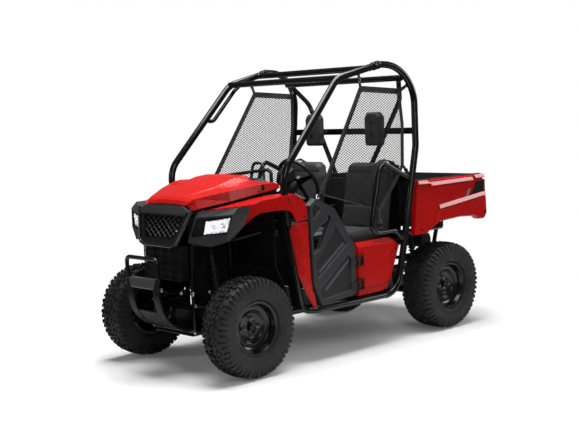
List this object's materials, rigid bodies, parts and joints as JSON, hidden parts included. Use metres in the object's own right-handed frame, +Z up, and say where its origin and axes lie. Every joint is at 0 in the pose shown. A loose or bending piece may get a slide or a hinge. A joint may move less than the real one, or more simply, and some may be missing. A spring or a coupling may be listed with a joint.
{
  "type": "two-seat side by side utility vehicle",
  "caption": "Two-seat side by side utility vehicle with a tube roll cage, half doors, side nets, lugged tyres and a tipping cargo bed with a drop tailgate.",
  "frame": {"origin": "on the ground under the middle of the overall box", "axes": "+Z up, the front looks along -Y, the driver's side is +X"},
  "size_m": [1.27, 2.7, 1.9098],
  "materials": {
    "bare_metal": "zinc plated and bare steel",
    "black_frame": "satin black powder coat over steel tube",
    "black_plastic": "grained black plastic",
    "black_rim": "gloss black paint with a bright lip",
    "cast_metal": "cast aluminium cases",
    "charcoal_plastic": "grained charcoal plastic",
    "grey_plate": "mid grey painted plate",
    "lamp_red": "red lamp lens",
    "lens": "clear lens over a reflector",
    "red_body": "glossy moulded red plastic",
    "seat_vinyl": "black textured vinyl",
    "soft_grip": "black grip foam",
    "tyre": "matt black rubber with moulded lugs",
    "webbing": "black woven webbing and net"
  },
  "bodies": {
    "root": {"arch_liners": "black_plastic", "bed_frame": "black_frame", "dashboard": "black_plastic", "door_hinges": "black_frame", "drive_line": "cast_metal", "engine": "cast_metal", "exhaust": "bare_metal", "fender_left": "red_body", "fender_lower": "red_body", "fender_right": "red_body", "floor_pan": "black_plastic", "frame_rails": "black_frame", "front_arms": "black_frame", "front_bumper": "grey_plate", "front_cage": "black_frame", "grab_bar": "soft_grip", "grille": "black_plastic", "headlamp_bezels": "charcoal_plastic", "headlamp_lenses": "lens", "headrests": "seat_vinyl", "hitch_receiver": "black_frame", "hood": "red_body", "nose_frame": "black_frame", "pedals": "bare_metal", "radiator": "black_plastic", "rear_arms": "black_frame", "rear_cage": "black_frame", "rear_upright_left": "cast_metal", "rear_upright_right": "cast_metal", "seat_backs": "seat_vinyl", "seat_base": "black_plastic", "seat_belts": "webbing", "seat_cushions": "seat_vinyl", "shock_absorbers": "bare_metal", "side_nets": "webbing", "side_panels": "red_body", "sill_frame": "black_frame", "skid_plate": "grey_plate", "steering_column": "black_plastic"},
    "door_left_body": {"door_left": "charcoal_plastic"},
    "door_right_body": {"door_right": "charcoal_plastic"},
    "steer_knuckle_left": {"knuckle_left": "cast_metal"},
    "steer_knuckle_right": {"knuckle_right": "cast_metal"},
    "steering_rack": {"tie_rods": "bare_metal"},
    "steering_wheel_body": {"steering_wheel": "soft_grip"},
    "wheel_front_left": {"tyre_front_left": "tyre", "rim_front_left": "black_rim"},
    "wheel_front_right": {"tyre_front_right": "tyre", "rim_front_right": "black_rim"},
    "wheel_rear_left": {"tyre_rear_left": "tyre", "rim_rear_left": "black_rim"},
    "wheel_rear_right": {"tyre_rear_right": "tyre", "rim_rear_right": "black_rim"},
    "cargo_bed": {"cargo_tub": "black_plastic", "bed_panels": "red_body", "tail_lamps": "lamp_red"},
    "tailgate_body": {"tailgate": "red_body"}
  },
  "joints": [
    {"name": "steer_left", "type": "hinge", "parent": "root", "child": "steer_knuckle_left", "pos_m": [0.4505, -0.95, 0.31], "axis": [0, 0, 1], "range_deg": [-28, 28]},
    {"name": "steer_right", "type": "hinge", "parent": "root", "child": "steer_knuckle_right", "pos_m": [-0.4505, -0.95, 0.31], "axis": [0, 0, 1], "range_deg": [-28, 28]},
    {"name": "rack_slide", "type": "slide", "parent": "root", "child": "steering_rack", "axis": [1, 0, 0], "range_m": [-0.055, 0.055]},
    {"name": "steering_wheel_turn", "type": "hinge", "parent": "root", "child": "steering_wheel_body", "pos_m": [0.3, -0.262, 1.142], "axis": [0, 0.866, 0.5], "range_deg": [-272, 272]},
    {"name": "front_left_spin", "type": "hinge", "parent": "steer_knuckle_left", "child": "wheel_front_left", "pos_m": [0.5325, -0.95, 0.31], "axis": [1, 0, 0], "continuous": true},
    {"name": "front_right_spin", "type": "hinge", "parent": "steer_knuckle_right", "child": "wheel_front_right", "pos_m": [-0.5325, -0.95, 0.31], "axis": [1, 0, 0], "continuous": true},
    {"name": "rear_left_spin", "type": "hinge", "parent": "root", "child": "wheel_rear_left", "pos_m": [0.51, 0.904, 0.31], "axis": [1, 0, 0], "continuous": true},
    {"name": "rear_right_spin", "type": "hinge", "parent": "root", "child": "wheel_rear_right", "pos_m": [-0.51, 0.904, 0.31], "axis": [1, 0, 0], "continuous": true},
    {"name": "door_left_swing", "type": "hinge", "parent": "root", "child": "door_left_body", "pos_m": [0.606, -0.056, 0.525], "axis": [0, 0, 1], "range_deg": [0, 75]},
    {"name": "door_right_swing", "type": "hinge", "parent": "root", "child": "door_right_body", "pos_m": [-0.606, -0.056, 0.525], "axis": [0, 0, -1], "range_deg": [0, 75]},
    {"name": "bed_tilt", "type": "hinge", "parent": "root", "child": "cargo_bed", "pos_m": [0, 1.166, 0.738], "axis": [-1, 0, 0], "range_deg": [0, 45]},
    {"name": "tailgate_drop", "type": "hinge", "parent": "cargo_bed", "child": "tailgate_body", "pos_m": [0, 1.334, 0.792], "axis": [-1, 0, 0], "range_deg": [0, 90]}
  ],
  "couplings": [
    {"joint": "steer_right", "follows": "steer_left", "ratio": 1},
    {"joint": "steering_wheel_turn", "follows": "steer_left", "ratio": 9.6},
    {"joint": "rack_slide", "follows": "steer_left", "m_per_rad": -0.108}
  ]
}
